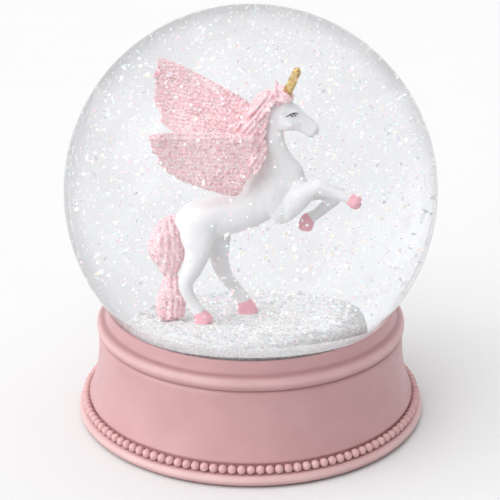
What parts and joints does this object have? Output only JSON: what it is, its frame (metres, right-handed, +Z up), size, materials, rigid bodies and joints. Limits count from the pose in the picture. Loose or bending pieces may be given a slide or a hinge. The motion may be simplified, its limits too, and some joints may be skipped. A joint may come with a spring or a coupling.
{
  "type": "snow globe",
  "caption": "Water-filled glass snow globe with a rearing winged unicorn and glitter, on a round pink resin base with a bead trim.",
  "frame": {"origin": "centre of the felt pad's underside, on the surface that the globe stands on", "axes": "+Z up along the axis of the globe and base, +X the way the unicorn faces, -Y the side that the viewer sees"},
  "size_m": [0.1, 0.1, 0.1135],
  "materials": {
    "clear_glass": "polished",
    "clear_water": "gloss",
    "glitter_film": "gloss",
    "black_rubber": "matte",
    "clear_sealant": "satin",
    "snow_resin": "satin",
    "white_resin": "satin",
    "hoof_pink": "satin",
    "horn_gold": "satin",
    "pink_glitter": "satin",
    "base_pink": "satin",
    "grey_cement": "matte",
    "plate_board": "matte",
    "pink_felt": "matte"
  },
  "bodies": {
    "root": {"glass_globe": "clear_glass", "water_fill": "clear_water", "glitter_flakes": "glitter_film", "rubber_stopper": "black_rubber", "sealant_ring": "clear_sealant", "snow_mound": "snow_resin", "unicorn_body": "white_resin", "near_fore_hoof": "hoof_pink", "far_fore_hoof": "hoof_pink", "near_hind_hoof": "hoof_pink", "far_hind_hoof": "hoof_pink", "horn": "horn_gold", "ears": "pink_glitter", "forelock": "pink_glitter", "mane": "pink_glitter", "tail": "pink_glitter", "near_wing": "pink_glitter", "far_wing": "pink_glitter", "base_shell": "base_pink", "bead_trim": "base_pink", "cement_ring": "grey_cement", "bottom_plate": "plate_board", "felt_pad": "pink_felt"}
  },
  "joints": []
}
